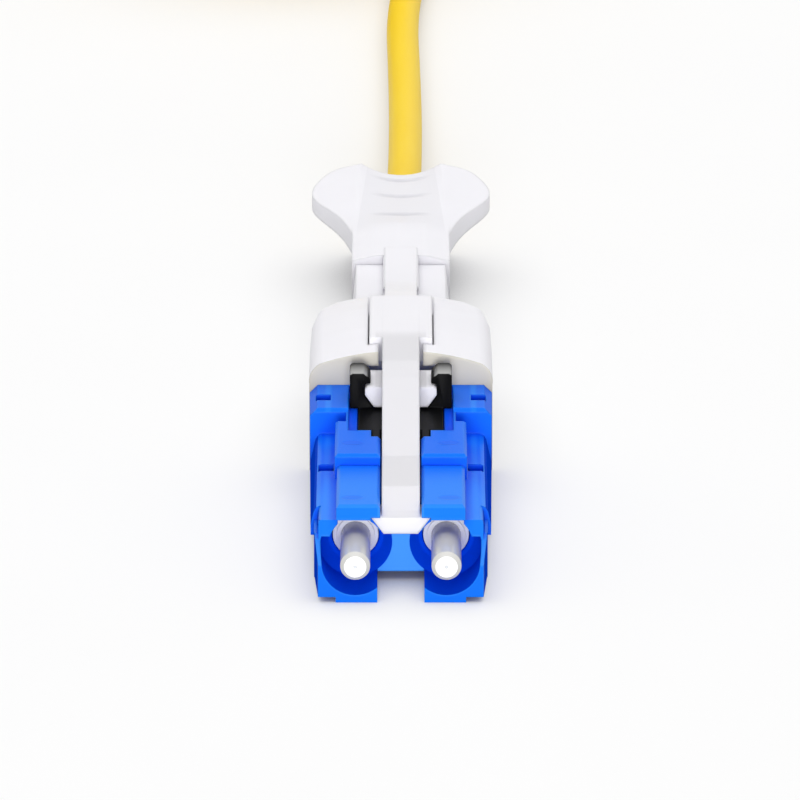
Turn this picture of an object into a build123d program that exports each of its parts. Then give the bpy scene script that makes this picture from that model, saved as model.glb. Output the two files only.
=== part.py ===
from build123d import *
import os
from math import cos, pi, radians, sin, tan

# Duplex push-pull fibre connector with its yellow cable, in millimetres.
# X runs across, Y runs back along the cable, Z is up.
# The origin lies midway between the two ferrule axes, in the front plane of the noses.

# Ferrules and the optical line
ferrule_pitch = 3.8
ferrule_radius = 0.625
ferrule_seat_radius = 0.46
collar_radius = 0.80
tail_radius = 0.42
tail_bore_radius = 0.25
ferrule_tip_y = -0.42
ferrule_chamfer = 0.16
ferrule_shoulder_y = 3.46
ferrule_back_y = 5.2
collar_front_y = 3.49
collar_back_y = 5.35
fibre_bore_radius = 0.07
fibre_radius = 0.0625
coat_radius = 0.125
coat_front_y = 5.3

# Front housing
nose_inner_x = 0.98
nose_front_x = 3.45
nose_back_x = 3.64
nose_top_z = 0.45
nose_tip_z = -0.10
corner_bottom_z = -1.49
base_z = -1.73
web_bottom_z = -1.33
web_front_y = 2.72
scoop_front_radius = 1.40
scoop_back_radius = 1.54
scoop_floor_y = 3.48
scoop_rim_z = 0.46
sleeve_room_radius = 1.165
ramp_front_y = 1.85
roof_front_y = 2.45
roof_slot_low_z = 0.6
roof_slot_inside = 0.62
roof_slot_outside = 0.74
key_lip_y = 2.06
key_inner_x = 0.87
key_outer_x = 2.80
key_low_z = 1.70
key_high_z = 2.15
key_step_y = 7.57
key_back_y = 12.0
key_bevel = 0.12
rail_x = 3.41
rail_top_z = 1.05
wall_front_y = 4.2
wall_front_x = 3.80
wall_toe_y = 9.0
wall_toe_z = -0.25
body_x = 3.95
rail_round = 0.25
shoulder_drop = 1.5
notch_front_y = 8.6
notch_back_y = 9.45
notch_depth = 0.35
ledge_front_y = 13.4
ledge_bevel = 0.15
ledge_top_z = 2.18
housing_back_y = 16.6
spigot_length = 1.6
cover_wall = 0.5

# Bores of the housing
flange_radius = 0.96
flange_clearance = 0.04
flange_face_y = 3.58
flange_mouth_y = 3.62
flange_stop_y = 5.65
main_bore_radius = 1.25
seat_y = 13.6
cavity_x = 3.1
cavity_low_z = -1.15
cavity_top_z = 1.25

# Guide insert and its opening
opening_x = 2.25
opening_front_y = 10.9
opening_wide_y = 10.7
recess_floor_z = 1.9
opening_narrow_x = 1.87
prong_x = 1.22
prong_front_y = 10.0
opening_back_y = 16.45
opening_floor_z = 1.5
guide_thickness = 0.45
guide_base_x = 1.83
guide_front_y = 11.3
hook_front_y = 14.2
hook_depth = 1.45
hook_outer_x = 2.2
hook_inner_x = 1.6
hook_tip_x = 1.29
hook_top_z = 3.53
hook_tip_z = 3.04

# Pull tab
tab_travel = 1.5
slide_gap = 0.05
strip_x = 0.80
neck_strip_x = 0.72
head_front_y = 2.25
head_back_y = 3.85
head_wide_x = 1.23
head_narrow_x = 0.72
head_low_z = 0.50
head_wide_z = 1.20
head_top_z = 1.34
strip_low_top_z = 2.0
strip_high_top_z = 4.0
lug_front_y = 13.95
lug_back_y = 16.2
lug_low_z = 2.03
shoulder_x = 1.37
shoulder_front_y = 17.75
shoulder_back_y = 24.5
shoulder_back_z = 3.64
shoulder_under_z = 2.80
neck_strip_top_z = 2.74
grip_front_y = 33.2
grip_back_y = 46.9
grip_x = 2.22
grip_low_z = -1.66
wing_x = 4.12
wing_front_y = 37.2
wing_back_x = 2.6
wing_low_z = 1.40
wing_edge_z = 2.20
crease_x = 1.84
crease_z = 2.72
crease_rise = 0.28
crease_front_y = 36.0
saddle_front_y = 37.6
saddle_crown = 0.28
saddle_depth = 0.57
saddle_front_x = 2.3
groove_depth = 0.14
groove_x = 1.45
groove_round = 0.44
groove_places = (39.8, 43.1, 45.9)

# Rear cover
cover_x = 3.97
cover_side_z = 2.2
cover_crown_z = 3.74
cover_back_y = 28.8
neck_x = 2.2
neck_top_x = 2.02
neck_top_z = 2.25
neck_low_z = -1.60
neck_bore_radius = 1.25
neck_spigot_x = 1.75
neck_spigot_low_z = -1.42
neck_spigot_top_z = 1.70
neck_spigot_back_y = 36.0
pocket_floor_z = 2.75

# Hood outline: half width, shoulder height, crown height, y
hood_rows = [
    (cover_x, cover_side_z, cover_crown_z, 20.0),
    (3.93, 2.18, 3.53, 23.4),
    (3.74, 2.12, 3.26, 25.3),
    (3.17, 1.99, 2.87, 26.9),
    (2.48, 1.86, 2.50, 28.0),
    (neck_x, 1.75, 2.32, cover_back_y),
]

# Back post, crimp and cable
post_nose_length = 1.5
post_pad_x = 0.8
post_back_y = 18.0
post_shoulder_radius = 1.15
barrel_radius = 0.95
barrel_bore_radius = 0.6
barrel_back_y = 24.6
yarn_thickness = 0.07
sleeve_wall = 0.14
sleeve_front_y = 19.6
sleeve_step_y = 25.0
sleeve_back_y = 28.0
cable_radius = 0.80
jacket_wall = 0.3
jacket_front_y = 25.2
boot_radius = 1.12
boot_back_y = 45.4
exit_y = 47.3

# Springs
spring_wire_radius = 0.11
spring_coil_radius = 0.78
spring_turns = 6
spring_steps = 10
tab_spring_wire_radius = 0.08
tab_spring_coil_radius = 0.36
tab_spring_turns = 6
tab_spring_z = 2.40

# Free cable: a route chosen by hand, then a flat hank in line with the connector
cable_length = 1000.0
cable_sides = 16
route = [
    (0.0, exit_y, 0.0),
    (0.16, 52.6, -0.03),
    (0.21, 58.6, -0.40),
    (0.23, 65.6, -0.83),
    (0.16, 74.0, -0.87),
    (0.04, 82.6, -0.86),
    (0.52, 90.8, -0.78),
    (1.60, 98.4, -0.68),
]
hank_fold_radii = (5.0, 6.6)
hank_layers = 5
hank_straight = 28.9
tie_thickness = 0.25
tie_width = 5.0

ferrule_x = ferrule_pitch / 2
far = 3 * exit_y


def span(x0, x1, y0, y1, z0, z1):
    """Box between two values on each axis."""
    corner = (Align.MIN, Align.MIN, Align.MIN)
    return Pos(x0, y0, z0) * Box(x1 - x0, y1 - y0, z1 - z0, align=corner)


def rod(radius, y0, y1, x=0.0, z=0.0):
    """Round bar along Y."""
    return Pos(x, (y0 + y1) / 2, z) * Rot(X=90) * Cylinder(radius, y1 - y0)


def tube(outer, inner, y0, y1, x=0.0, z=0.0):
    return rod(outer, y0, y1, x, z) - rod(inner, y0 - 1, y1 + 1, x, z)


def fine_bar(radius, y0, y1, x):
    """Very thin bar along Y, drawn with eight flats."""
    return Pos(x, y0, 0) * Rot(X=-90) * extrude(RegularPolygon(radius, 8), amount=y1 - y0)


def both_sides(shape):
    return shape + mirror(shape, about=Plane.YZ)


def section(points, y0, y1):
    """Outline given as (x, z) corners, carried along Y from y0 to y1."""
    face = make_face(Polyline(*[(x, y0, z) for x, z in points], close=True))
    return extrude(face, amount=y1 - y0, dir=(0, 1, 0))


def side_profile(points, x0, x1):
    """Outline given as (y, z) corners, carried along X from x0 to x1."""
    face = make_face(Polyline(*[(x0, y, z) for y, z in points], close=True))
    return extrude(face, amount=x1 - x0, dir=(1, 0, 0))


def plan(points, z0, z1):
    """Outline given as (x, y) corners, carried up from z0 to z1."""
    face = make_face(Polyline(*[(x, y, z0) for x, y in points], close=True))
    return extrude(face, amount=z1 - z0, dir=(0, 0, 1))


def turned(points, x=0.0, z=0.0):
    """Outline given as (radius, y) corners, turned about an axis along Y."""
    face = make_face(Polyline(*[(r, y, 0) for r, y in points], close=True))
    return Pos(x, 0, z) * revolve(face, axis=Axis.Y)


def rail_outline(outer_x, top_x):
    """Half outline of the lower body, its rail rounded over between top_x and outer_x."""
    across = outer_x - top_x
    return [
        (nose_inner_x, corner_bottom_z),
        (outer_x, corner_bottom_z),
        (outer_x, rail_top_z - shoulder_drop),
        (top_x + 0.48 * across, rail_top_z - rail_round),
        (top_x + 0.28 * across, rail_top_z - 0.3 * rail_round),
        (top_x, rail_top_z),
        (nose_inner_x, rail_top_z),
    ]


def housing_outside():
    nose = plan(
        [
            (nose_inner_x, 0),
            (nose_front_x, 0),
            (nose_back_x, web_front_y),
            (nose_back_x, wall_front_y + 1),
            (nose_inner_x, wall_front_y + 1),
        ],
        corner_bottom_z,
        nose_top_z,
    )
    nose -= side_profile(
        [(-1, nose_tip_z), (0, nose_tip_z), (roof_front_y, nose_top_z), (roof_front_y, 9), (-1, 9)], 0, body_x
    )
    foot = span(nose_inner_x, key_outer_x - 0.08, 0, key_back_y, base_z, corner_bottom_z)
    web = span(0, nose_inner_x, web_front_y, housing_back_y, web_bottom_z, rail_top_z)
    rail = section(rail_outline(nose_back_x, nose_back_x - 0.3), roof_front_y, wall_front_y + 1)
    ramp = side_profile(
        [(ramp_front_y, 0.2), (roof_front_y, rail_top_z), (roof_front_y, 0.2)],
        ferrule_x,
        nose_front_x,
    )
    wall_profile = section(rail_outline(body_x, rail_x), wall_front_y, ledge_front_y)
    taper = plan(
        [
            (0, wall_front_y),
            (wall_front_x, wall_front_y),
            (body_x, housing_back_y),
            (0, housing_back_y),
        ],
        base_z,
        key_high_z + 1,
    )
    ledge = section(
        [
            (0, corner_bottom_z),
            (body_x, corner_bottom_z),
            (body_x, ledge_top_z - 0.35),
            (body_x - 0.35, ledge_top_z),
            (0, ledge_top_z),
        ],
        ledge_front_y,
        housing_back_y,
    )
    top_front = ledge.edges().filter_by(Axis.X).group_by(Axis.Y)[0].sort_by(Axis.Z)[-1]
    ledge = chamfer(top_front, ledge_bevel)
    low_key = side_profile(
        [
            (roof_front_y, 0.5),
            (roof_front_y, sleeve_room_radius),
            (key_lip_y, sleeve_room_radius),
            (roof_front_y, key_low_z),
            (key_step_y, key_low_z),
            (key_step_y, 0.5),
        ],
        key_inner_x,
        key_outer_x - 0.1,
    )
    high_key = span(key_inner_x, key_outer_x, key_step_y, key_back_y, 0.5, key_high_z)
    low_key = chamfer(low_key.edges().group_by(Axis.Z)[-1], key_bevel)
    high_key = chamfer(high_key.edges().group_by(Axis.Z)[-1], key_bevel)
    high_key += span(key_inner_x, opening_x + 0.1, key_back_y - 1, ledge_front_y + 0.1, 0.5, key_high_z - 0.1)
    spigot = span(
        0,
        cover_x - cover_wall - 0.03,
        housing_back_y,
        housing_back_y + spigot_length,
        corner_bottom_z + 0.25,
        cover_side_z - 0.3,
    )
    toe = side_profile(
        [
            (wall_front_y - 1, wall_toe_z),
            (wall_front_y, wall_toe_z),
            (wall_toe_y, corner_bottom_z),
            (wall_front_y - 1, base_z),
        ],
        nose_back_x,
        body_x + 1,
    )
    half = nose + foot + web + rail + ramp + (wall_profile - toe) + ledge
    return half, taper, low_key, high_key, spigot


def front_housing():
    half, taper, low_key, high_key, spigot = housing_outside()
    front_part = half - span(-1, far, wall_front_y, far, -far, far)
    back_part = (half & taper) + low_key + high_key + spigot
    shape = both_sides(front_part + back_part)
    for side in (-1, 1):
        x = side * ferrule_x
        scoop = turned(
            [
                (0, -1),
                (scoop_front_radius, -1),
                (scoop_front_radius, 0),
                (scoop_back_radius, web_front_y),
                (sleeve_room_radius, scoop_floor_y),
                (flange_radius + flange_clearance, flange_mouth_y),
                (0, flange_mouth_y),
            ],
            x,
        )
        shape -= scoop & span(-9, 9, -2, 9, -9, scoop_rim_z)
        mouth = rod(sleeve_room_radius, -1, scoop_floor_y, x)
        shape -= mouth & span(-9, 9, -2, 9, scoop_rim_z - 0.1, 9)
        shape -= rod(flange_radius + flange_clearance, 3, flange_stop_y + 0.1, x)
        shape -= rod(main_bore_radius, flange_stop_y, seat_y + 0.1, x)
    roof_slot = span(
        ferrule_x - roof_slot_inside,
        ferrule_x + roof_slot_outside,
        0,
        scoop_floor_y,
        roof_slot_low_z,
        sleeve_room_radius,
    )
    channel = span(-key_inner_x, key_inner_x, 0, opening_front_y + 0.1, 1.0, 9)
    gap = slide_gap
    dovetail = section(
        [
            (-head_wide_x - gap, head_wide_z + gap),
            (-head_narrow_x - gap, head_low_z - gap),
            (head_narrow_x + gap, head_low_z - gap),
            (head_wide_x + gap, head_wide_z + gap),
        ],
        0,
        head_back_y + tab_travel + 0.1,
    )
    opening = span(-opening_x, opening_x, opening_wide_y, opening_back_y, recess_floor_z, 9)
    opening += span(
        -opening_narrow_x, opening_narrow_x, opening_front_y, opening_back_y, opening_floor_z, 9
    )
    opening += span(
        -prong_x - slide_gap, prong_x + slide_gap, prong_front_y - 0.1, opening_back_y, opening_floor_z, 9
    )
    tunnel = span(-1.65, 1.65, opening_back_y - 0.1, housing_back_y + 0.1, 1.98, 9)
    cavity = span(
        -cavity_x, cavity_x, seat_y, housing_back_y + spigot_length + 1, cavity_low_z, cavity_top_z
    )
    shape -= channel + dovetail + opening + tunnel + cavity
    notch = span(key_outer_x + 0.05, rail_x + 0.1, notch_front_y, notch_back_y, rail_top_z - notch_depth, 9)
    slot = span(3.02, 3.66, 14.55, 15.3, ledge_top_z - 0.5, 9)
    shape -= both_sides(notch + slot + roof_slot)
    return shape


def hood_section(half_width, side_z, crown_z, y):
    """Right half of the hood's outline at y: a flat arc over the crown and a tight one at the shoulder."""
    rise = crown_z - side_z
    knee = (0.86 * half_width, y, side_z + 0.64 * rise)
    bend = (0.965 * half_width, y, side_z + 0.42 * rise)
    crown = TangentArc((0, y, crown_z), knee, tangent=(1, 0, 0))
    shoulder = ThreePointArc(knee, bend, (half_width, y, side_z))
    base = Polyline((half_width, y, side_z), (half_width, y, base_z), (0, y, base_z), (0, y, crown_z))
    return make_face(Wire([*crown.edges(), *shoulder.edges(), *base.edges()]))


def rear_cover():
    front = hood_section(cover_x, cover_side_z, cover_crown_z, housing_back_y)
    hood = extrude(front, amount=hood_rows[0][-1] - housing_back_y, dir=(0, 1, 0))
    hood += loft([hood_section(*row) for row in hood_rows], ruled=True)
    heel = side_profile(
        [(23, base_z), (cover_back_y + 1, neck_low_z + 0.03), (cover_back_y + 1, -9), (23, -9)], -9, 9
    )
    hood = both_sides(hood) - heel
    neck = section(
        [
            (-neck_x, neck_low_z),
            (neck_x, neck_low_z),
            (neck_x, 0.4),
            (neck_top_x, neck_top_z),
            (-neck_top_x, neck_top_z),
            (-neck_x, 0.4),
        ],
        cover_back_y - 0.6,
        grip_front_y - slide_gap,
    )
    end = span(
        -neck_spigot_x,
        neck_spigot_x,
        grip_front_y - slide_gap - 0.1,
        neck_spigot_back_y,
        neck_spigot_low_z,
        neck_spigot_top_z,
    )
    shape = hood + neck + end
    inner_x = cover_x - cover_wall
    mouth_back_y = housing_back_y + spigot_length + 0.05
    shape -= span(
        -inner_x, inner_x, 10, mouth_back_y, corner_bottom_z + 0.2, cover_side_z - 0.25
    )
    shape -= rod(neck_bore_radius, mouth_back_y - 0.1, far)
    shape -= span(-1.65, 1.65, 10, lug_back_y + tab_travel + 0.25, 1.9, 3.05)
    shape -= span(-0.97, 0.97, 10, 30, 3.0, 9)
    pocket_x = shoulder_x + 0.06
    shape -= span(
        -pocket_x, pocket_x, shoulder_front_y - slide_gap, 40, pocket_floor_z, 9
    )
    shape -= span(-0.56, 0.56, shoulder_front_y - slide_gap, 22.4, 1.97, 9)
    return shape


def latch_guide():
    base = span(
        -guide_base_x,
        guide_base_x,
        guide_front_y,
        opening_back_y - 0.1,
        opening_floor_z,
        opening_floor_z + guide_thickness,
    )
    floor_z = opening_floor_z
    hook = section(
        [
            (guide_base_x, floor_z),
            (guide_base_x, recess_floor_z + 0.02),
            (hook_outer_x, recess_floor_z + 0.02),
            (hook_outer_x, hook_top_z - 0.1),
            (hook_outer_x - 0.12, hook_top_z),
            (hook_inner_x, hook_top_z),
            (hook_tip_x + 0.05, hook_top_z - 0.25),
            (hook_tip_x, hook_tip_z),
            (hook_inner_x - 0.12, hook_tip_z),
            (hook_inner_x, hook_tip_z - 0.12),
            (hook_inner_x, 2.56),
            (1.22, 2.03),
            (0.9, 1.95),
            (0.9, floor_z),
        ],
        hook_front_y,
        hook_front_y + hook_depth,
    )
    prong = span(
        key_inner_x, prong_x, prong_front_y, guide_front_y + 1, floor_z, floor_z + guide_thickness
    )
    return base + both_sides(hook + prong)


def tab_strip():
    top = [
        (head_front_y, head_wide_z),
        (2.8, head_top_z),
        (4.0, strip_low_top_z),
        (7.8, strip_low_top_z),
        (13.1, 3.7),
        (14.5, strip_high_top_z),
        (shoulder_front_y + 0.2, strip_high_top_z - 0.02),
        (shoulder_back_y, shoulder_back_z),
        (26.9, 3.05),
        (29.2, neck_strip_top_z),
        (grip_front_y + 1.0, neck_strip_top_z),
    ]
    under = [
        (grip_front_y + 1.0, neck_top_z + slide_gap),
        (29.4, neck_top_z + slide_gap),
        (28.2, pocket_floor_z + slide_gap),
        (shoulder_front_y, shoulder_under_z),
        (17.6, 3.1),
        (lug_back_y, 3.1),
        (lug_back_y, lug_low_z),
        (9.6, lug_low_z),
        (7.2, 1.08),
        (head_back_y, 1.08),
        (head_back_y, head_low_z),
        (head_front_y, head_low_z),
    ]
    return top + under


def pull_tab():
    outline = tab_strip()
    strip = side_profile(outline, -strip_x, strip_x)
    low_z = neck_top_z + slide_gap
    slim = section(
        [
            (-neck_strip_x - 0.22, low_z),
            (neck_strip_x + 0.22, low_z),
            (neck_strip_x, neck_strip_top_z),
            (neck_strip_x, 9),
            (-neck_strip_x, 9),
            (-neck_strip_x, neck_strip_top_z),
        ],
        shoulder_back_y - 0.5,
        far,
    )
    front = span(-9, 9, -9, shoulder_back_y - 0.4, -9, 9)
    strip = (strip & front) + (strip & slim)
    head = section(
        [
            (-head_narrow_x, head_low_z),
            (head_narrow_x, head_low_z),
            (head_wide_x, head_wide_z),
            (head_wide_x - 0.2, head_wide_z + 0.03),
            (-head_wide_x + 0.2, head_wide_z + 0.03),
            (-head_wide_x, head_wide_z),
        ],
        head_front_y,
        head_back_y,
    )
    outer_cut = strip & span(-9, 9, head_front_y - 1, head_back_y, -9, head_wide_z - 0.01)
    shape = (strip - outer_cut) + head
    lug = section(
        [
            (0, lug_low_z),
            (1.16, 2.08),
            (hook_inner_x - 0.06, 2.62),
            (hook_inner_x - 0.06, hook_tip_z - 0.18),
            (hook_inner_x - 0.18, hook_tip_z - slide_gap),
            (0, hook_tip_z - slide_gap),
        ],
        lug_front_y,
        lug_back_y,
    )
    shape += both_sides(lug)
    shoulder = side_profile(
        [
            (shoulder_front_y, shoulder_under_z),
            (shoulder_front_y, strip_high_top_z - 0.02),
            (shoulder_back_y, shoulder_back_z),
            (shoulder_back_y, shoulder_under_z),
        ],
        -shoulder_x,
        shoulder_x,
    )
    spring_lug = span(-0.5, 0.5, 17.95, 18.45, 2.02, shoulder_under_z + 0.1)
    shape += shoulder + spring_lug + grip()
    return shape


def grip():
    sleeve = section(
        [
            (-grip_x, grip_low_z + 0.4),
            (-grip_x + 0.4, grip_low_z),
            (grip_x - 0.4, grip_low_z),
            (grip_x, grip_low_z + 0.4),
            (grip_x, 2.42),
            (1.2, 2.66),
            (0, neck_strip_top_z),
            (-1.2, 2.66),
            (-grip_x, 2.42),
        ],
        grip_front_y,
        grip_back_y,
    )
    outline = Spline(
        (grip_x, wing_front_y),
        (3.15, 40.9),
        (wing_x, 44.2),
        (3.55, 46.2),
        (wing_back_x, grip_back_y),
        tangents=[(0.15, 1), (-1, 0)],
    )
    rest = Polyline((wing_back_x, grip_back_y), (0, grip_back_y), (0, wing_front_y), (grip_x, wing_front_y))
    wing = extrude(
        Pos(0, 0, wing_low_z) * make_face(Wire([*outline.edges(), *rest.edges()])),
        amount=2,
    )
    roof = loft([wing_roof(crease_front_y), wing_roof(grip_back_y + 0.2)], ruled=True)
    shape = sleeve + both_sides(wing & roof)
    shape -= saddle_cutter()
    for y in groove_places:
        shape -= groove_cutter(y)
    shape -= rod(neck_bore_radius, 20, far)
    gap = slide_gap + 0.01
    shape -= span(
        -neck_spigot_x - gap,
        neck_spigot_x + gap,
        grip_front_y - 1,
        neck_spigot_back_y + 1,
        neck_spigot_low_z - gap,
        neck_spigot_top_z + gap,
    )
    return shape


def crease_height(y):
    """The creases beside the thumb saddle climb towards the back."""
    return crease_z - crease_rise * (grip_back_y - y) / (grip_back_y - crease_front_y)


def wing_roof(y):
    crease = crease_height(y)
    slope = (crease_z - wing_edge_z) / (wing_x - crease_x)
    reach = wing_x + 0.2
    corners = [
        (-0.1, wing_low_z - 0.1),
        (reach, wing_low_z - 0.1),
        (reach, crease - slope * (reach - crease_x)),
        (crease_x, crease),
        (-0.1, crease),
    ]
    return make_face(Polyline(*[(x, y, z) for x, z in corners], close=True))


def saddle_arc(y):
    """Half width, edge height and depth of the thumb saddle at y; it is crowned in front, hollow behind."""
    share = (y - saddle_front_y) / (grip_back_y - saddle_front_y)
    half = saddle_front_x + (crease_x - saddle_front_x) * share
    depth = -saddle_crown + (saddle_crown + saddle_depth) * share**0.7
    return half, crease_height(y), depth


def saddle_cutter():
    faces = []
    for y in (saddle_front_y, 39.6, 42.5, grip_back_y + 0.1):
        half, edge_z, depth = saddle_arc(y)
        arc = ThreePointArc((-half, y, edge_z), (0, y, edge_z - depth), (half, y, edge_z))
        top = Polyline((half, y, edge_z), (half, y, edge_z + 2), (-half, y, edge_z + 2), (-half, y, edge_z))
        faces.append(make_face(Wire([*arc.edges(), *top.edges()])))
    return loft(faces, ruled=True)


def groove_cutter(y):
    half, edge_z, depth = saddle_arc(y)
    saddle_bend = 2 * depth / (half**2 + depth**2)
    ring_radius = 1 / (2 * groove_depth / groove_x**2 + saddle_bend)
    low_z = edge_z - depth - groove_depth
    cross = Pos(ring_radius - groove_round, 0) * Rot(Z=22.5) * RegularPolygon(groove_round, 8)
    return Pos(0, y, low_z + ring_radius) * revolve(cross, axis=Axis.Y)


def ferrule(x):
    tip = ferrule_tip_y
    blank = turned(
        [
            (0, tip),
            (ferrule_radius - ferrule_chamfer, tip),
            (ferrule_radius, tip + ferrule_chamfer),
            (ferrule_radius, ferrule_shoulder_y),
            (ferrule_seat_radius, ferrule_shoulder_y),
            (ferrule_seat_radius, ferrule_back_y),
            (0, ferrule_back_y),
        ],
        x,
    )
    return blank - fine_bar(fibre_bore_radius, tip - 1, ferrule_back_y + 1, x)


def collar(x):
    return tube(collar_radius, ferrule_seat_radius + 0.005, collar_front_y, collar_back_y, x)


def flange(x):
    disc = rod(flange_radius, flange_face_y, flange_stop_y + slide_gap, x)
    hexagon = Pos(x, flange_stop_y + slide_gap, 0) * Rot(X=-90) * extrude(
        RegularPolygon(main_bore_radius - 0.05, 6), amount=1.0
    )
    tail_start = flange_stop_y + slide_gap + 1.0
    tail = rod(tail_radius, tail_start, tail_start + 2.4, x)
    shape = disc + hexagon + tail
    shape -= rod(collar_radius + 0.005, flange_face_y - 1, collar_back_y + 0.05, x)
    shape -= rod(tail_bore_radius, 5, 12, x)
    return shape


def coil_spring(coil_radius, wire_radius, turns, y0, y1, x, z):
    """Spring along Y, of straight pieces of a square wire."""
    rise = (y1 - y0 - 2 * wire_radius) / (turns * spring_steps)
    points = []
    for i in range(turns * spring_steps + 1):
        angle = 2 * pi * i / spring_steps
        points.append((x + coil_radius * cos(angle), y0 + wire_radius + i * rise, z + coil_radius * sin(angle)))
    path = Polyline(*points)
    profile = Plane(origin=points[0], z_dir=path % 0) * RegularPolygon(wire_radius, 4)
    return sweep(profile, path=path, transition=Transition.RIGHT)


def fibre(side):
    x = side * ferrule_x
    lane = side * 0.22
    points = [(x, coat_front_y, 0), (x, 14.6, 0), (lane, 17.6, 0), (lane, 24.0, 0)]
    path = FilletPolyline(*points, radius=6.0)
    profile = Plane(origin=points[0], z_dir=(0, 1, 0)) * RegularPolygon(coat_radius, 6)
    bare_end = fine_bar(fibre_radius, ferrule_tip_y, coat_front_y + 0.2, x)
    return sweep(profile, path=path) + bare_end


def back_post():
    body = span(
        -cavity_x + 0.03,
        cavity_x - 0.03,
        seat_y + 0.02,
        post_back_y,
        cavity_low_z + 0.03,
        cavity_top_z - 0.03,
    )
    shape = body + turned(
        [
            (0, post_back_y - 0.2),
            (post_shoulder_radius, post_back_y - 0.2),
            (post_shoulder_radius, post_back_y + 0.5),
            (barrel_radius, post_back_y + 0.5),
            (barrel_radius, barrel_back_y),
            (0, barrel_back_y),
        ]
    )
    for side in (-1, 1):
        x = side * ferrule_x
        shape += span(x - post_pad_x, x + post_pad_x, seat_y - 0.6, seat_y + 0.5, -post_pad_x, post_pad_x)
        shape += rod(tail_radius, seat_y - 0.6 - post_nose_length, seat_y, x)
        shape -= rod(tail_bore_radius, seat_y - 0.7 - post_nose_length, seat_y + 0.8, x)
    chamber = plan(
        [(-2.5, 14.1), (2.5, 14.1), (2.5, 15.8), (0.95, 18.3), (-0.95, 18.3), (-2.5, 15.8)],
        -0.5,
        0.5,
    )
    shape -= chamber
    shape -= rod(barrel_bore_radius, 17, far)
    return shape


def aramid_yarn():
    return tube(
        barrel_radius + 0.01 + yarn_thickness,
        barrel_radius + 0.005,
        sleeve_front_y + 0.1,
        barrel_back_y,
    )


def crimp_sleeve():
    inner = barrel_radius + yarn_thickness + 0.02
    step_inner = cable_radius + 0.005
    return turned(
        [
            (inner, sleeve_front_y),
            (inner + sleeve_wall, sleeve_front_y),
            (inner + sleeve_wall, sleeve_step_y - 0.1),
            (step_inner + sleeve_wall, sleeve_step_y + 0.3),
            (step_inner + sleeve_wall, sleeve_back_y),
            (step_inner, sleeve_back_y),
            (step_inner, sleeve_step_y + 0.15),
            (inner, sleeve_step_y - 0.1),
        ]
    )


def strain_relief():
    over_sleeve = cable_radius + 0.005 + sleeve_wall + 0.01
    return turned(
        [
            (over_sleeve, sleeve_step_y + 0.6),
            (boot_radius, sleeve_step_y + 0.6),
            (boot_radius, boot_back_y),
            (cable_radius + 0.01, boot_back_y),
            (cable_radius + 0.01, sleeve_back_y + 0.1),
            (over_sleeve, sleeve_back_y + 0.1),
        ]
    )


def route_radii(points):
    """Largest arcs that the runs allow: 0.45 of the shorter run over the tangent of half the turn."""
    radii = []
    for before, here, after in zip(points, points[1:], points[2:]):
        first = Vector(*here) - Vector(*before)
        second = Vector(*after) - Vector(*here)
        half_turn = radians(first.get_angle(second)) / 2
        radii.append(0.45 * min(first.length, second.length) / tan(half_turn))
    return radii


def stadium(half_width, straight, x, y, z, height):
    """Racetrack block whose straight sides start at y and run along Y."""
    middle = span(x - half_width, x + half_width, y, y + straight, z, z + height)
    base = (Align.CENTER, Align.CENTER, Align.MIN)
    for end in (y, y + straight):
        middle += Pos(x, end, z) * Cylinder(half_width, height, align=base)
    return middle


def hank_place():
    """Centre line, first straight, underside and height of the wound hank."""
    last = route[-1]
    height = hank_layers * 2 * cable_radius
    return last[0] - hank_fold_radii[-1], last[1], base_z + tie_thickness, height


def cable_coil():
    x, y, z, height = hank_place()
    outer = hank_fold_radii[-1] + cable_radius
    inner = hank_fold_radii[0] - cable_radius
    solid = stadium(outer, hank_straight, x, y, z, height)
    return solid - stadium(inner, hank_straight, x, y, z - 1, height + 2)


def cable_run():
    radii = route_radii(route)
    path = FilletPolyline(*route, radius=radii)
    face = RegularPolygon(cable_radius, cable_sides)
    shape = sweep(Plane(origin=route[0], z_dir=path % 0) * face, path=path)
    mean_fold = sum(hank_fold_radii) / len(hank_fold_radii)
    turn = 2 * hank_straight + 2 * pi * mean_fold
    turns_needed = (cable_length - path.length) / turn
    print("cable run radii", [round(r, 1) for r in radii])
    print("cable run volume", round(shape.volume, 4), "section x length", round(face.area * path.length, 4))
    print("hank turns needed", round(turns_needed, 2), "wound", len(hank_fold_radii) * hank_layers)
    return shape


def cable_tie():
    """Strap round the whole hank, half way along it."""
    x, y, z, height = hank_place()
    wrap = tie_thickness
    outer = hank_fold_radii[-1] + cable_radius
    front = y + (hank_straight - tie_width) / 2
    back = front + tie_width
    strap = span(x - outer - wrap, x + outer + wrap, front, back, z - wrap, z + height + wrap)
    return strap - span(x - outer, x + outer, front - 1, back + 1, z, z + height)


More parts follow.
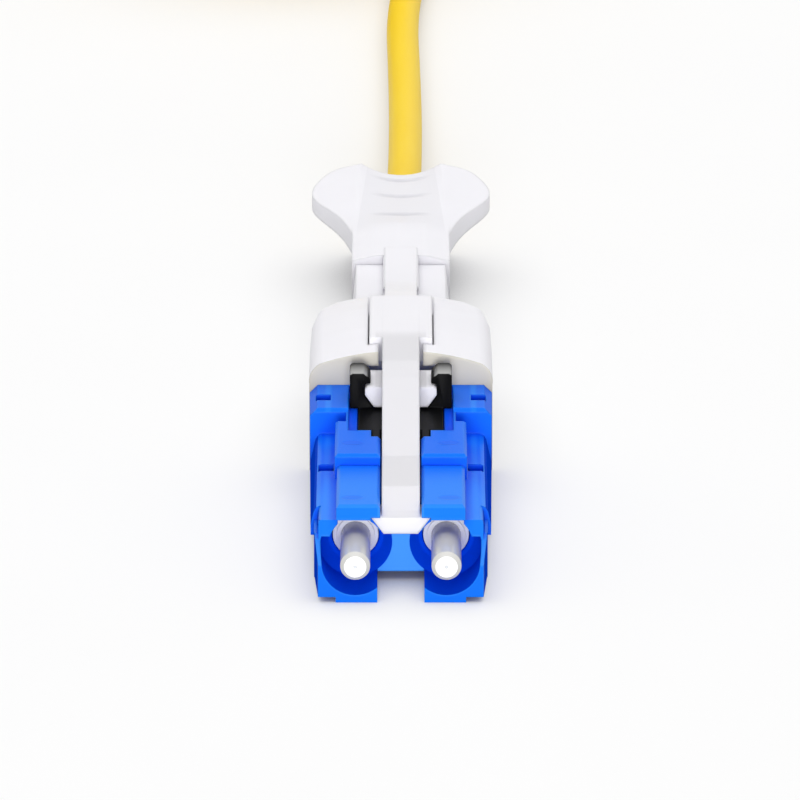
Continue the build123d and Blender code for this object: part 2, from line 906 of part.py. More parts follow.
def main():
    os.makedirs("parts", exist_ok=True)
    nodes = {
        "front_housing": front_housing(),
        "rear_cover": rear_cover(),
        "latch_guide": latch_guide(),
        "pull_tab": pull_tab(),
        "back_post": back_post(),
        "aramid_yarn": aramid_yarn(),
        "crimp_sleeve": crimp_sleeve(),
        "strain_relief": strain_relief(),
        "inner_jacket": tube(cable_radius, cable_radius - jacket_wall, jacket_front_y, exit_y),
        "tab_spring": coil_spring(
            tab_spring_coil_radius, tab_spring_wire_radius, tab_spring_turns, 18.47, 22.38, 0, tab_spring_z
        ),
        "cable_run": cable_run(),
        "cable_coil": cable_coil(),
        "cable_tie": cable_tie(),
    }
    for side, word in ((-1, "left"), (1, "right")):
        x = side * ferrule_x
        nodes["ferrule_" + word] = ferrule(x)
        nodes["collar_" + word] = collar(x)
        nodes["flange_" + word] = flange(x)
        nodes["fibre_" + word] = fibre(side)
        nodes["ferrule_spring_" + word] = coil_spring(
            spring_coil_radius, spring_wire_radius, spring_turns, 6.72, 12.98, x, 0
        )
    for name, shape in nodes.items():
        print(name, "solids", len(shape.solids()), "volume", round(shape.volume, 3))
        export_step(shape, f"parts/{name}.step")


main()
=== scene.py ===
import math
import bmesh
import bpy
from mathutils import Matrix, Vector


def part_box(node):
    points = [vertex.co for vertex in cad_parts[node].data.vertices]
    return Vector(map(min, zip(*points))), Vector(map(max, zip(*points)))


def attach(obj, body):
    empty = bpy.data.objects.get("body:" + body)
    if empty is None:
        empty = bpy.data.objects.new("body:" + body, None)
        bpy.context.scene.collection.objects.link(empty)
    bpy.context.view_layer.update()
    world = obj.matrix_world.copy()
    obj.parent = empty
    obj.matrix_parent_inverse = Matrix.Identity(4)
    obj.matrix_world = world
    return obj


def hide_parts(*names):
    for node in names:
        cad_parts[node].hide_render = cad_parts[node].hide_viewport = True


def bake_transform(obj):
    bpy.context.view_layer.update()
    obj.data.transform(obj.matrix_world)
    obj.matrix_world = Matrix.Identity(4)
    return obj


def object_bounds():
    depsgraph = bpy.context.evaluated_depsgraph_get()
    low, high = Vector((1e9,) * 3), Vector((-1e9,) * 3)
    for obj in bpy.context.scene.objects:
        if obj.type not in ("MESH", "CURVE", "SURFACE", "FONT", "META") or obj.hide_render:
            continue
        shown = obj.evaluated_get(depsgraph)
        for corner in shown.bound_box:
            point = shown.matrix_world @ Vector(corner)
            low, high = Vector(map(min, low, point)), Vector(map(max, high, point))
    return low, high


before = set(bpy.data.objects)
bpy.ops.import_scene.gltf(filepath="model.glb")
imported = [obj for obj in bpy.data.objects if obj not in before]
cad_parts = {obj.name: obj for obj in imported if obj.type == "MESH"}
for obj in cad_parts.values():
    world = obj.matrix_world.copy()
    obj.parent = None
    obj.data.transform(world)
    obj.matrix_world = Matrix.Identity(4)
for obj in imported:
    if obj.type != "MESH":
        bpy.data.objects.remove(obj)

# lengths in the dictionaries are in millimetres, colours are 0 to 255 screen values
mm = 0.001
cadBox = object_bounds()
print("frame loaded:", len(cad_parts), "nodes")


class Field:
    # one socket of a shader graph, with arithmetic
    def __init__(self, graph, socket):
        self.graph = graph
        self.socket = socket

    def math(self, operation, other=0.0, swapped=False):
        first, second = (other, self) if swapped else (self, other)
        return self.graph.add("ShaderNodeMath", {"operation": operation}, {0: first, 1: second})

    def __add__(self, other):
        return self.math("ADD", other)

    def __radd__(self, other):
        return self.math("ADD", other, True)

    def __sub__(self, other):
        return self.math("SUBTRACT", other)

    def __rsub__(self, other):
        return self.math("SUBTRACT", other, True)

    def __mul__(self, other):
        return self.math("MULTIPLY", other)

    def __rmul__(self, other):
        return self.math("MULTIPLY", other, True)

    def __truediv__(self, other):
        return self.math("DIVIDE", other)

    def __pow__(self, other):
        return self.math("POWER", other)

    def __abs__(self):
        return self.math("ABSOLUTE")

    def rise(self, low, high):
        # 0 at low and 1 at high, eased, either way round
        return self.graph.add(
            "ShaderNodeMapRange",
            {"interpolation_type": "SMOOTHSTEP"},
            {"Value": self, "From Min": low, "From Max": high},
        )

    def within(self, low, high, soft=0.03):
        return self.rise(low - soft, low + soft) * self.rise(high + soft, high - soft)


# what the masks of every finish share
shading = {
    "edgeCosines": (0.998, 0.90),
    "edgeSamples": 6,
    "creaseOpen": (0.95, 0.30),
    "creaseSamples": 8,
    "ovalRim": (1.1, 0.5),
}


class Finish:
    # a material, or the world, and its node graph
    def __init__(self, name, store=None):
        self.owner = (bpy.data.materials if store is None else store).new(name)
        self.owner.use_nodes = True
        self.tree = self.owner.node_tree
        self.tree.nodes.clear()

    def add(self, kind, settings=None, inputs=None, output=0):
        node = self.tree.nodes.new(kind)
        for key, value in (settings or {}).items():
            setattr(node, key, value)
        for key, value in (inputs or {}).items():
            if isinstance(value, Field):
                self.tree.links.new(value.socket, node.inputs[key])
            else:
                node.inputs[key].default_value = value
        return Field(self, node.outputs[output]) if len(node.outputs) else None

    def place(self, stretch=(1, 1, 1)):
        # the object's own coordinates in millimetres, stretched
        spot = self.add("ShaderNodeTexCoord", output="Object")
        scale = [s / mm for s in stretch]
        return self.add("ShaderNodeMapping", {}, {"Vector": spot, "Scale": scale})

    def split(self, vector):
        first = self.add("ShaderNodeSeparateXYZ", {}, {0: vector})
        return [Field(self, socket) for socket in first.socket.node.outputs]

    def facing(self):
        return self.split(self.add("ShaderNodeTexCoord", output="Normal"))

    def noise(self, scale, detail=3.0, rough=0.55, stretch=(1, 1, 1)):
        spot = self.place(stretch)
        return self.add(
            "ShaderNodeTexNoise",
            {"noise_dimensions": "3D"},
            {"Vector": spot, "Scale": scale, "Detail": detail, "Roughness": rough},
        )

    def blend(self, share, low, high):
        # from the low colour to the high one, by share
        low, high = [c if isinstance(c, Field) else linear(*c) for c in (low, high)]
        colours = {0: share, 6: low, 7: high}
        return self.add("ShaderNodeMix", {"data_type": "RGBA"}, colours, output=2)

    def rounded(self, radius):
        settings = {"samples": shading["edgeSamples"]}
        return self.add("ShaderNodeBevel", settings, {"Radius": radius * mm})

    def edge(self, softened):
        # 1 along the edges that the softened normal rounds off
        flat = self.add("ShaderNodeNewGeometry", output="Normal")
        along = self.add(
            "ShaderNodeVectorMath",
            {"operation": "DOT_PRODUCT"},
            {0: softened, 1: flat},
            output="Value",
        )
        return along.rise(*shading["edgeCosines"])

    def opened(self, reach, **settings):
        # 1 in the open, less where something is within reach
        settings["samples"] = shading["creaseSamples"]
        inputs = {"Distance": reach * mm}
        return self.add("ShaderNodeAmbientOcclusion", settings, inputs, output="AO")

    def creaseShade(self, reach):
        # 1 where the piece's own shape closes in on the spot, where the finishes paint shade into
        # creases
        return self.opened(reach, only_local=True).rise(*shading["creaseOpen"])

    def oval(self, x, y, centre, radii):
        # 1 inside an upright oval, fading at its rim
        far = ((x - centre[0]) / radii[0]) ** 2.0 + ((y - centre[1]) / radii[1]) ** 2.0
        return far.rise(*shading["ovalRim"])

    def bump(self, height, depth, strength, under=None):
        inputs = {"Height": height, "Distance": depth * mm, "Strength": strength}
        if under is not None:
            inputs["Normal"] = under
        return self.add("ShaderNodeBump", {}, inputs)

    def seen(self):
        # 1 for rays from the camera and through reflections and glass
        path = self.add("ShaderNodeLightPath").socket.node.outputs
        kinds = ("Camera", "Glossy", "Transmission")
        first, second, third = [Field(self, path["Is %s Ray" % kind]) for kind in kinds]
        return (first + second + third).math("MINIMUM", 1.0)

    def skin(self, **inputs):
        # keyword names are the shader's socket names, with _ for a space
        sockets = {key.replace("_", " "): value for key, value in inputs.items()}
        return self.add("ShaderNodeBsdfPrincipled", {}, sockets)

    def close(self, shader=None, **inputs):
        self.add("ShaderNodeOutputMaterial", {}, {0: shader or self.skin(**inputs)})
        return self.owner


def linear(red, green, blue):
    # 0 to 255 screen values to the shader's own, by the usual screen curve
    def one(v):
        v = v / 255
        return v / 12.92 if v < 0.04045 else ((v + 0.055) / 1.055) ** 2.4
    return (one(red), one(green), one(blue), 1)


def makePiece(name, data):
    piece = bpy.data.objects.new(name, data)
    bpy.context.scene.collection.objects.link(piece)
    return piece


# camera: before the ferrule tips and above them, looking along the connector
view = {
    "place": (0, -338.17, 123.64),
    "drop": 19.0,
    "lens": 389.29,
    "sensor": 36,
    "sideShift": -0.00106,
    "clipMetres": (0.01, 20),
}


def makeCamera():
    data = bpy.data.cameras.new("camera")
    data.lens = view["lens"]
    data.sensor_width = view["sensor"]
    data.shift_x = view["sideShift"]
    data.clip_start, data.clip_end = view["clipMetres"]
    camera = makePiece("camera", data)
    camera.location = [v * mm for v in view["place"]]
    camera.rotation_euler = (math.radians(90 - view["drop"]), 0, 0)
    bpy.context.scene.camera = camera
    print("camera set")


# cable: out of the grip, down to the surface, back and into the stored hank
cable = {
    "radius": 0.8,
    "length": 1000.0,
    "route": [
        (0.0, 47.3, 0.0),
        (0.16, 52.6, -0.03),
        (0.21, 58.6, -0.40),
        (0.23, 65.6, -0.83),
        (0.16, 74.0, -0.87),
        (0.04, 82.6, -0.86),
        (0.52, 90.8, -0.78),
        (1.60, 98.4, -0.68),
    ],
    "foldRadii": [6.6, 5.0],
    "straight": 28.9,
    "straightInset": 3,
    "layers": [-0.68, 0.92, 2.52, 4.12, 5.72],
    "foldPoints": 7,
    "crossFrom": 3,
    "shrink": 0.985,
    "pointsOff": 2,
    "order": 3,
    "steps": 6,
    "roundness": 6,
}


def hankPoints():
    # racetrack turns, up the outer column and down the inner one
    centreX = cable["route"][-1][0] - cable["foldRadii"][0]
    frontY = cable["route"][-1][1]
    backY = frontY + cable["straight"]
    straightY = [
        frontY + cable["straightInset"],
        (frontY + backY) / 2,
        backY - cable["straightInset"],
    ]
    levels = [(cable["foldRadii"][0], z) for z in cable["layers"]]
    levels += [(cable["foldRadii"][1], z) for z in reversed(cable["layers"])]
    points = []
    count = cable["foldPoints"]
    for turn, (radius, z) in enumerate(levels):
        nextRadius, nextZ = levels[min(turn + 1, len(levels) - 1)]
        for y in straightY:
            points.append((centreX + radius, y, z))
        for k in range(count):
            angle = math.pi * (k + 0.5) / count
            r = radius / cable["shrink"]
            points.append((centreX + r * math.cos(angle), backY + r * math.sin(angle), z))
        for y in reversed(straightY):
            points.append((centreX - radius, y, z))
        for k in range(count):
            # the front fold ends on the next turn's radius and height
            angle = math.pi * (1 + (k + 0.5) / count)
            share = max(0.0, (k - cable["crossFrom"]) / (count - 1 - cable["crossFrom"]))
            r = (radius + (nextRadius - radius) * share) / cable["shrink"]
            height = z + (nextZ - z) * share
            points.append((centreX + r * math.cos(angle), frontY + r * math.sin(angle), height))
    return points[:-cable["pointsOff"]]


def makeCable(finish):
    points = cable["route"] + hankPoints()
    data = bpy.data.curves.new("cable", "CURVE")
    data.dimensions = "3D"
    line = data.splines.new("NURBS")
    line.points.add(len(points) - 1)
    for spot, point in zip(line.points, points):
        spot.co = (*[v * mm for v in point], 1)
    line.order_u = cable["order"]
    line.use_endpoint_u = True
    line.resolution_u = cable["steps"]
    data.bevel_depth = cable["radius"] * mm
    data.bevel_resolution = cable["roundness"]
    data.use_fill_caps = True
    data.materials.append(finish)
    piece = makePiece("cable", data)
    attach(piece, "shell")
    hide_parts("cable_run", "cable_coil")
    print("cable laid,", len(points), "points")


# moulded blue of the front housing: colours, painted highlights and painted shade, gloss, places
# and how much each tone covers
blue = {
    "body": (10, 112, 243),
    "cloud": (8, 106, 239),
    "light": (40, 142, 250),
    "web": (72, 158, 252),
    "deep": (5, 76, 236),
    "wallShade": (4, 62, 204),
    "cloudNoise": (0.35, 2.0),
    "grainNoise": (9.0, 4.0, 0.6),
    "rough": (0.34, 0.10),
    "matteRough": 0.7,
    "gloss": 0.08,
    "index": 1.5,
    "edge": 0.12,
    "grain": 0.1,
    "bump": (0.04, 0.35),
    "soft": 0.1,
    "ferruleX": 1.9,
    "scoopRadius": 1.65,
    "scoopBackY": 3.7,
    "scoopInward": (-0.1, -0.4),
    "sunlitY": (8.0, 4.5),
    "sunlitFacing": (0.4, 0.8),
    "wallX": 3.4,
    "wallFacing": (0.6, 0.9),
    "recessX": (1.85, 2.27),
    "recessY": (10.6, 16.5),
    "recessZ": 2.2,
    "webX": (1.0, 0.95),
    "webY": (4.0, 3.5),
    "webFacing": (-0.7, -0.95),
    "railX": (3.01, 3.25),
    "railSoft": 0.08,
    "railFacing": (0.5, 0.9),
    "sinkMarks": [(2.04, 3.43), (2.04, 9.1)],
    "sinkRadii": (0.5, 0.32),
    "sinkFacing": (0.9, 0.95),
    "creaseReach": 1.6,
    "edgeShare": 0.55,
    "sunlitShare": 0.6,
    "railShare": 0.6,
    "sinkShare": 0.25,
    "creaseShare": 0.8,
    "webShare": 0.9,
    "recessShare": 0.8,
}


def blueFinish():
    f = Finish("blueMoulding")
    x, y, z = f.split(f.place())
    facingX, facingY, facingZ = f.facing()
    side = abs(x)
    soft = blue["soft"]
    outward = side - blue["ferruleX"]
    fromAxis = (outward ** 2.0 + z ** 2.0) ** 0.5
    inward = facingX * x.math("SIGN") * outward + facingZ * z
    # painted shade: the scoops round the ferrules are darkened to the deep blue
    scoopShade = fromAxis.rise(blue["scoopRadius"], blue["scoopRadius"] - soft)
    scoopShade = scoopShade * inward.rise(*blue["scoopInward"])
    scoopShade = scoopShade * y.rise(blue["scoopBackY"] + soft, blue["scoopBackY"])
    sunlit = y.rise(*blue["sunlitY"]) * facingZ.rise(*blue["sunlitFacing"])
    # painted shade: the outer side walls are darkened
    wallShade = side.rise(blue["wallX"], blue["wallX"] + soft) * abs(facingX).rise(*blue["wallFacing"])
    # painted shade: the recess beside the guide is darkened
    recessShade = side.within(*blue["recessX"]) * y.within(*blue["recessY"])
    recessShade = recessShade * z.rise(blue["recessZ"], blue["recessZ"] - soft)
    # painted light: the web's front face is lightened
    web = side.rise(*blue["webX"]) * facingY.rise(*blue["webFacing"]) * y.rise(*blue["webY"])
    cloud = f.noise(*blue["cloudNoise"])
    grain = f.noise(*blue["grainNoise"])
    softened = f.rounded(blue["edge"])
    # painted highlight: a lighter line along each rail
    railHighlight = side.within(*blue["railX"], blue["railSoft"]) * facingZ.rise(*blue["railFacing"])
    # sink marks: shallow dimples in the bump; their darker tint is painted shade
    sinkAndShade = sum(f.oval(side, y, spot, blue["sinkRadii"]) for spot in blue["sinkMarks"])
    sinkAndShade = sinkAndShade * facingZ.rise(*blue["sinkFacing"])
    colour = f.blend(cloud, blue["cloud"], blue["body"])
    # painted highlight along the rounded-off edges
    colour = f.blend(f.edge(softened) * blue["edgeShare"], colour, blue["light"])
    # painted highlight: the tops are lighter towards the front
    colour = f.blend(sunlit * blue["sunlitShare"], colour, blue["light"])
    colour = f.blend(railHighlight * blue["railShare"], colour, blue["light"])
    colour = f.blend(sinkAndShade * blue["sinkShare"], colour, blue["deep"])
    # painted shade in the creases
    colour = f.blend(f.creaseShade(blue["creaseReach"]) * blue["creaseShare"], colour, blue["deep"])
    colour = f.blend(web * blue["webShare"], colour, blue["web"])
    colour = f.blend(scoopShade, colour, blue["deep"])
    colour = f.blend(recessShade * blue["recessShare"], colour, blue["deep"])
    colour = f.blend(wallShade, colour, blue["wallShade"])
    low, swing = blue["rough"]
    look = {
        "Base_Color": colour,
        "Normal": f.bump(grain * blue["grain"] - sinkAndShade, *blue["bump"], softened),
        "IOR": blue["index"],
    }
    # the walls and the scoops carry painted shade, and take the matte shader with no gloss
    glossy = f.skin(Roughness=low + swing * grain, Specular_IOR_Level=blue["gloss"], **look)
    matte = f.skin(Roughness=blue["matteRough"], Specular_IOR_Level=0.0, **look)
    shaders = {0: wallShade.math("MAXIMUM", scoopShade), 1: glossy, 2: matte}
    return f.close(f.add("ShaderNodeMixShader", {}, shaders))


# moulded white of the hood and the tab, with painted shade on the strip, the saddle, the grooves,
# the creases and the hood's front face
white = {
    "body": (240, 239, 244),
    "cloud": (236, 235, 240),
    "strip": (220, 219, 223),
    "low": (206, 205, 210),
    "saddle": (233, 232, 237),
    "step": (214, 210, 199),
    "stepFoot": (182, 176, 162),
    "cloudNoise": (0.3, 2.0),
    "grainNoise": (8.0, 4.0, 0.6),
    "rough": (0.38, 0.10),
    "gloss": 0.12,
    "index": 1.5,
    "edge": 0.16,
    "bump": (0.004, 0.3),
    "through": 0.4,
    "throughReach": 0.4,
    "stripX": (1.15, 1.05),
    "stripY": (19.0, 17.5),
    "stripFacing": (0.1, 0.5),
    "stepY": (16.5, 16.8),
    "stepFacing": (-0.6, -0.9),
    "stepZ": (1.4, 3.2),
    "saddleX": (2.10, 2.04),
    "saddleY": (36.5, 38.5),
    "saddleTaper": 0.049,
    "saddleFacing": (0.3, 0.7),
    "grooves": [(0, 39.8), (0, 43.1), (0, 45.9)],
    "grooveRadii": (1.5, 0.42),
    "grooveShare": 0.2,
    "creaseReach": 0.9,
    "creaseShare": 0.6,
}


def whiteFinish():
    f = Finish("whiteMoulding")
    x, y, z = f.split(f.place())
    facingY, facingZ = f.facing()[1:]
    cloud = f.noise(*white["cloudNoise"])
    grain = f.noise(*white["grainNoise"])
    # painted shade: the strip's top is darker
    strip = abs(x).rise(*white["stripX"]) * y.rise(*white["stripY"])
    # painted shade: the hood's front face, darker towards its foot
    step = facingY.rise(*white["stepFacing"]) * y.within(*white["stepY"])
    # painted shade: the saddle's top is darker
    saddleSide = abs(x) + (y - white["saddleY"][0]) * white["saddleTaper"]
    saddle = saddleSide.rise(*white["saddleX"]) * y.rise(*white["saddleY"])
    # painted shade in the grooves
    grooveShade = sum(f.oval(x, y, spot, white["grooveRadii"]) for spot in white["grooves"])
    grooveShade = grooveShade * facingZ.rise(*white["saddleFacing"])
    colour = f.blend(cloud, white["cloud"], white["body"])
    colour = f.blend(strip * facingZ.rise(*white["stripFacing"]), colour, white["strip"])
    colour = f.blend(saddle * facingZ.rise(*white["saddleFacing"]), colour, white["saddle"])
    colour = f.blend(grooveShade * white["grooveShare"], colour, white["low"])
    # painted shade in the creases
    colour = f.blend(f.creaseShade(white["creaseReach"]) * white["creaseShare"], colour, white["low"])
    stepShade = f.blend(z.rise(*white["stepZ"]), white["stepFoot"], white["step"])
    low, swing = white["rough"]
    return f.close(
        Base_Color=f.blend(step, colour, stepShade),
        Roughness=low + swing * grain,
        Normal=f.bump(grain, *white["bump"], f.rounded(white["edge"])),
        Specular_IOR_Level=white["gloss"],
        Subsurface_Weight=white["through"],
        Subsurface_Radius=(1.0, 1.0, 1.0),
        Subsurface_Scale=white["throughReach"] * mm,
        IOR=white["index"],
    )


# moulded black of the guide; the tops of its two hooks carry a painted grey glint under a glossy
# coat
black = {
    "body": (17, 17, 18),
    "low": (11, 11, 13),
    "worn": (92, 92, 95),
    "capGlint": (150, 150, 149),
    "grainNoise": (8.0, 4.0, 0.6),
    "rough": (0.34, 0.12),
    "gloss": 0.03,
    "coatRough": 0.2,
    "index": 1.5,
    "edge": 0.08,
    "bump": (0.004, 0.3),
    "wornShare": 0.12,
    "capShare": 0.9,
    "capZ": (3.33, 3.43),
    "capY": (15.6, 14.3),
    "capFacing": (0.3, 0.7),
}


def blackFinish():
    f = Finish("blackMoulding")
    grain = f.noise(*black["grainNoise"])
    softened = f.rounded(black["edge"])
    colour = f.blend(grain, black["low"], black["body"])
    colour = f.blend(f.edge(softened) * black["wornShare"], colour, black["worn"])
    y, z = f.split(f.place())[1:]
    # painted glint: the hook tops are a lighter grey
    capGlint = z.rise(*black["capZ"]) * f.facing()[2].rise(*black["capFacing"]) * y.rise(*black["capY"])
    low, swing = black["rough"]
    return f.close(
        Base_Color=f.blend(capGlint * black["capShare"], colour, black["capGlint"]),
        Roughness=low + swing * grain,
        Coat_Weight=capGlint,
        Coat_Roughness=black["coatRough"],
        Normal=f.bump(grain, *black["bump"], softened),
        Specular_IOR_Level=black["gloss"],
        IOR=black["index"],
    )


# woven strap round the stored cable
strap = {
    "thread": (30, 30, 33),
    "gap": (10, 10, 12),
    "pitch": 0.45,
    "fuzzNoise": (14.0, 4.0, 0.7),
    "fuzzShare": 0.3,
    "fuzzHeight": 0.4,
    "rough": (0.75, 0.15),
    "gloss": 0.2,
    "bump": (0.05, 0.6),
}


def strapFinish():
    f = Finish("wovenStrap")
    x, y, z = f.split(f.place())
    turn = 2 * math.pi / strap["pitch"]
    across = ((x + z) * turn).math("SINE")
    along = (y * turn).math("SINE")
    weave = (across * along + 1) * 0.5
    fuzz = f.noise(*strap["fuzzNoise"])
    tone = weave * (1 - strap["fuzzShare"]) + fuzz * strap["fuzzShare"]
    low, swing = strap["rough"]
    return f.close(
        Base_Color=f.blend(tone, strap["gap"], strap["thread"]),
        Roughness=low + swing * fuzz,
        Normal=f.bump(weave + fuzz * strap["fuzzHeight"], *strap["bump"]),
        Specular_IOR_Level=strap["gloss"],
    )


# ground ceramic of the ferrules: the sleeve is painted grey as shade, darker towards its back; the
# polished tip keeps the ceramic's white
zirconia = {
    "side": (198, 197, 193),
    "shadow": (160, 158, 152),
    "ground": (214, 215, 217),
    "tip": (253, 253, 253),
    "groundNoise": (3.0, 3.0, 0.6, (1, 8, 1)),
    "groundShare": 0.25,
    "shadowY": (0.6, 3.4),
    "tipFacing": (-0.9, -0.98),
    "rough": (0.16, 0.08),
    "index": 1.7,
    "edge": 0.03,
    "bump": (0.001, 0.4),
}


def zirconiaFinish():
    f = Finish("polishedZirconia")
    y = f.split(f.place())[1]
    facingY = f.facing()[1]
    ground = f.noise(*zirconia["groundNoise"])
    # painted shade: the sleeve is darker towards its back
    colour = f.blend(y.rise(*zirconia["shadowY"]), zirconia["side"], zirconia["shadow"])
    colour = f.blend(ground * zirconia["groundShare"], colour, zirconia["ground"])
    low, swing = zirconia["rough"]
    return f.close(
        Base_Color=f.blend(facingY.rise(*zirconia["tipFacing"]), colour, zirconia["tip"]),
        Roughness=low + swing * ground,
        Normal=f.bump(ground, *zirconia["bump"], f.rounded(zirconia["edge"])),
        IOR=zirconia["index"],
    )


# drawn jacket of the cable
yellow = {
    "light": (251, 218, 58),
    "deep": (246, 206, 38),
    "drawnNoise": (1.2, 4.0, 0.6, (1, 0.12, 1)),
    "grainNoise": (11.0, 3.0, 0.6),
    "drawnShare": 0.6,
    "grainShare": 0.4,
    "rough": (0.40, 0.12),
    "gloss": 0.12,
    "index": 1.48,
    "bump": (0.012, 0.4),
}


def yellowFinish():
    f = Finish("yellowJacket")
    drawn = f.noise(*yellow["drawnNoise"])
    grain = f.noise(*yellow["grainNoise"])
    height = drawn * yellow["drawnShare"] + grain * yellow["grainShare"]
    low, swing = yellow["rough"]
    return f.close(
        Base_Color=f.blend(drawn, yellow["deep"], yellow["light"]),
        Roughness=low + swing * grain,
        Normal=f.bump(height, *yellow["bump"]),
        Specular_IOR_Level=yellow["gloss"],
        IOR=yellow["index"],
    )


# the small pieces: one grain between two colours, on the roughness and the bump
grained = {
    "springSteel": {
        "colours": [(150, 152, 156), (190, 192, 196)],
        "noise": (6.0, 3.0, 0.6),
        "rough": (0.25, 0.15),
        "sockets": {"Metallic": 1.0},
    },
    "whiteCollar": {
        "colours": [(250, 250, 248), (254, 254, 252)],
        "noise": (6.0, 3.0, 0.6, (1, 4, 1)),
        "rough": (0.3, 0.1),
        "bump": (0.002, 0.3),
        "edge": 0.03,
        "sockets": {
            "Subsurface_Weight": 0.5,
            "Subsurface_Radius": (1.0, 1.0, 1.0),
            "Subsurface_Scale": 0.6 * mm,
            "IOR": 1.5,
        },
    },
    "naturalMoulding": {
        "colours": [(226, 226, 220), (236, 236, 232)],
        "noise": (8.0, 4.0, 0.6),
        "rough": (0.4, 0.1),
        "bump": (0.004, 0.3),
        "edge": 0.08,
    },
    "aramidYarn": {
        "colours": [(196, 160, 70), (240, 214, 130)],
        "noise": (8.0, 4.0, 0.7, (1, 0.05, 1)),
        "rough": (0.55, 0.2),
        "bump": (0.02, 0.8),
    },
    "crimpMetal": {
        "colours": [(180, 182, 186), (212, 214, 218)],
        "noise": (5.0, 4.0, 0.6, (1, 0.2, 1)),
        "rough": (0.28, 0.15),
        "bump": (0.003, 0.5),
        "sockets": {"Metallic": 1.0},
    },
    "bootRubber": {
        "colours": [(222, 222, 222), (236, 236, 236)],
        "noise": (7.0, 4.0, 0.6),
        "rough": (0.55, 0.15),
        "bump": (0.008, 0.4),
        "edge": 0.06,
    },
    "coatedFibre": {
        "colours": [(205, 212, 220), (232, 236, 240)],
        "noise": (5.0, 3.0),
        "rough": (0.18, 0.08),
    },
}


def grainedFinish(name):
    plan = grained[name]
    f = Finish(name)
    grain = f.noise(*plan["noise"])
    low, swing = plan["rough"]
    look = dict(plan.get("sockets", {}))
    if "bump" in plan:
        under = f.rounded(plan["edge"]) if "edge" in plan else None
        look["Normal"] = f.bump(grain, *plan["bump"], under)
    colour = f.blend(grain, *plan["colours"])
    return f.close(Base_Color=colour, Roughness=low + swing * grain, **look)


# mouldings drawn again from their solids, with rounded edges
mouldings = {
    "latch_guide": {
        "slot": "black_plastic",
        "body": "shell",
        "round": 0.05,
        "segments": 2,
        "sharp": 30,
        "merge": 0.003,
        "flat": 0.6,
    },
}


def makeMoulding(name, finish):
    plan = mouldings[name]
    work = bmesh.new()
    work.from_mesh(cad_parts[name].data)
    bmesh.ops.remove_doubles(work, verts=work.verts, dist=plan["merge"] * mm)
    bmesh.ops.dissolve_limit(
        work,
        angle_limit=math.radians(plan["flat"]),
        verts=work.verts,
        edges=work.edges,
        delimit={"NORMAL"},
    )
    mesh = bpy.data.meshes.new(name + "_moulding")
    work.to_mesh(mesh)
    work.free()
    for face in mesh.polygons:
        face.use_smooth = True
    mesh.materials.clear()
    mesh.materials.append(finish)
    piece = makePiece(name + "_moulding", mesh)
    bevel = piece.modifiers.new("edges", "BEVEL")
    bevel.width = plan["round"] * mm
    bevel.segments = plan["segments"]
    bevel.limit_method = "ANGLE"
    bevel.angle_limit = math.radians(plan["sharp"])
    bevel.use_clamp_overlap = False
    bevel.miter_outer = "MITER_SHARP"
    weigh = piece.modifiers.new("shading", "WEIGHTED_NORMAL")
    weigh.keep_sharp = True
    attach(piece, plan["body"])
    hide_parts(name)


# springs of round wire with a closed turn at each end
springs = {
    "tab_spring": {"wire": 0.08, "turns": 7, "front": "tab"},
    "ferrule_spring_left": {"wire": 0.11, "turns": 8, "front": "ferrule_left"},
    "ferrule_spring_right": {"wire": 0.11, "turns": 8, "front": "ferrule_right"},
}
springMesh = {"steps": 20, "wireSides": 8}


def makeSpring(name, finish):
    plan = springs[name]
    steps, wireSides = springMesh["steps"], springMesh["wireSides"]
    low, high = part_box(name)
    wire = plan["wire"] * mm
    coil = (high.z - low.z) / 2 - wire
    centre = (low + high) / 2
    turns = plan["turns"]
    openTurns = turns - 2
    # three wire diameters go to the two closed turns and the wire's own thickness
    pitch = (high.y - low.y - 6 * wire) / openTurns
    corners, faces = [], []
    for step in range(turns * steps + 1):
        turn = step / steps
        angle = 2 * math.pi * turn
        opened = min(max(turn - 1, 0), openTurns)
        along = low.y + wire + 2 * wire * (turn - opened) + pitch * opened
        outward = Vector((math.cos(angle), 0, math.sin(angle)))
        spot = Vector((centre.x, along, centre.z)) + coil * outward
        for k in range(wireSides):
            side = 2 * math.pi * k / wireSides
            across = math.cos(side) * outward + math.sin(side) * Vector((0, 1, 0))
            corners.append(spot + wire * across)
        if step:
            start = (step - 1) * wireSides
            for k in range(wireSides):
                n = (k + 1) % wireSides
                faces.append((start + k, start + n, start + wireSides + n, start + wireSides + k))
    faces.append(tuple(reversed(range(wireSides))))
    faces.append(tuple(range(len(corners) - wireSides, len(corners))))
    mesh = bpy.data.meshes.new(name + "_wire")
    mesh.from_pydata(corners, [], faces)
    work = bmesh.new()
    work.from_mesh(mesh)
    bmesh.ops.recalc_face_normals(work, faces=work.faces)
    work.to_mesh(mesh)
    work.free()
    for face in mesh.polygons:
        # smooth along the wire, flat at its two ends
        face.use_smooth = len(face.vertices) == 4
    mesh.materials.append(finish)
    piece = makePiece(name + "_wire", mesh)
    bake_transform(piece)
    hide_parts(name)


makeCamera()
yellowJacket = yellowFinish()
makeCable(yellowJacket)

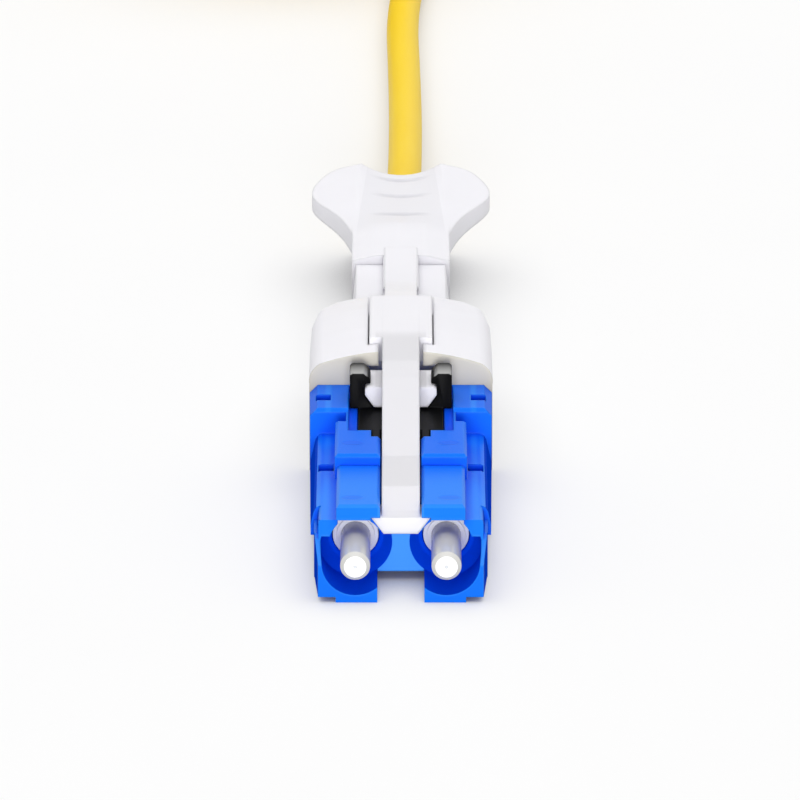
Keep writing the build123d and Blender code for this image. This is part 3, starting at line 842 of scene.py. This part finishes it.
whitePlastic = whiteFinish()
finishes = {
    "front_housing": blueFinish(),
    "rear_cover": whitePlastic,
    "pull_tab": whitePlastic,
    "latch_guide": blackFinish(),
    "back_post": grainedFinish("naturalMoulding"),
    "aramid_yarn": grainedFinish("aramidYarn"),
    "crimp_sleeve": grainedFinish("crimpMetal"),
    "strain_relief": grainedFinish("bootRubber"),
    "inner_jacket": yellowJacket,
    "tab_spring": grainedFinish("springSteel"),
    "cable_run": yellowJacket,
    "cable_coil": yellowJacket,
    "cable_tie": strapFinish(),
}
paired = {
    "ferrule": zirconiaFinish(),
    "collar": grainedFinish("whiteCollar"),
    "fibre": grainedFinish("coatedFibre"),
    "ferrule_spring": finishes["tab_spring"],
}
paired["flange"] = paired["collar"]
for kind, finish in paired.items():
    for side in ("left", "right"):
        finishes[kind + "_" + side] = finish
for name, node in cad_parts.items():
    for place in node.material_slots:
        place.material = finishes[name]
print("finishes on", len(finishes), "nodes")
for name in mouldings:
    makeMoulding(name, finishes[name])
for name in springs:
    makeSpring(name, finishes[name])
print("mouldings:", len(mouldings), "springs:", len(springs))

# floor and light
stage = {
    "floor": (206, 206, 206),
    "patch": (203, 203, 203),
    "patchNoise": (0.05, 2.0),
    "rough": 0.8,
    "gloss": 0.05,
    "lift": 0.34,
    "liftReach": 6,
    "liftOpen": (0.0, 0.6),
    "sizeMetres": 6.0,
    "world": 0.50,
}


def makeFloor():
    f = Finish("paleFloor")
    lift = stage["lift"]
    # the lift brings the floor near white in the picture, and fades close to the object as a
    # painted shadow
    share = f.seen() * f.opened(stage["liftReach"]).rise(*stage["liftOpen"])
    tones = {0: share, 6: (0, 0, 0, 1), 7: (lift, lift, lift, 1)}
    glow = f.add("ShaderNodeMix", {"data_type": "RGBA"}, tones, output=2)
    f.close(
        Base_Color=f.blend(f.noise(*stage["patchNoise"]), stage["patch"], stage["floor"]),
        Roughness=stage["rough"],
        Specular_IOR_Level=stage["gloss"],
        Emission_Color=glow,
        Emission_Strength=1.0,
    )
    half = stage["sizeMetres"] / 2
    low = cadBox[0].z
    corners = [(-half, -half, low), (half, -half, low), (half, half, low), (-half, half, low)]
    mesh = bpy.data.meshes.new("floor")
    mesh.from_pydata(corners, [], [(0, 1, 2, 3)])
    mesh.materials.append(f.owner)
    makePiece("floor", mesh)
    print("floor laid")


def makeWorld():
    w = Finish("studio", bpy.data.worlds)
    bpy.context.scene.world = w.owner
    strength = w.seen() * (1 - stage["world"]) + stage["world"]
    light = w.add("ShaderNodeBackground", {}, {"Color": (1, 1, 1, 1), "Strength": strength})
    w.add("ShaderNodeOutputWorld", {}, {0: light})


lamps = {
    "overhead": {"place": (0, 130, 410), "size": 700, "watts": 1.62},
    "front": {"place": (0, -430, 62), "size": 125, "watts": 1.24},
}
lampsAim = (0, 15, 0)


def makeLamps():
    target = Vector([v * mm for v in lampsAim])
    for name, plan in lamps.items():
        data = bpy.data.lights.new(name, "AREA")
        data.shape = "SQUARE"
        data.size = plan["size"] * mm
        data.energy = plan["watts"]
        lamp = makePiece(name, data)
        lamp.location = [v * mm for v in plan["place"]]
        lamp.rotation_euler = (target - lamp.location).to_track_quat("-Z", "Y").to_euler()
    print("lamps:", len(lamps))


makeFloor()
makeWorld()
makeLamps()
bpy.context.scene.view_settings.view_transform = "Standard"
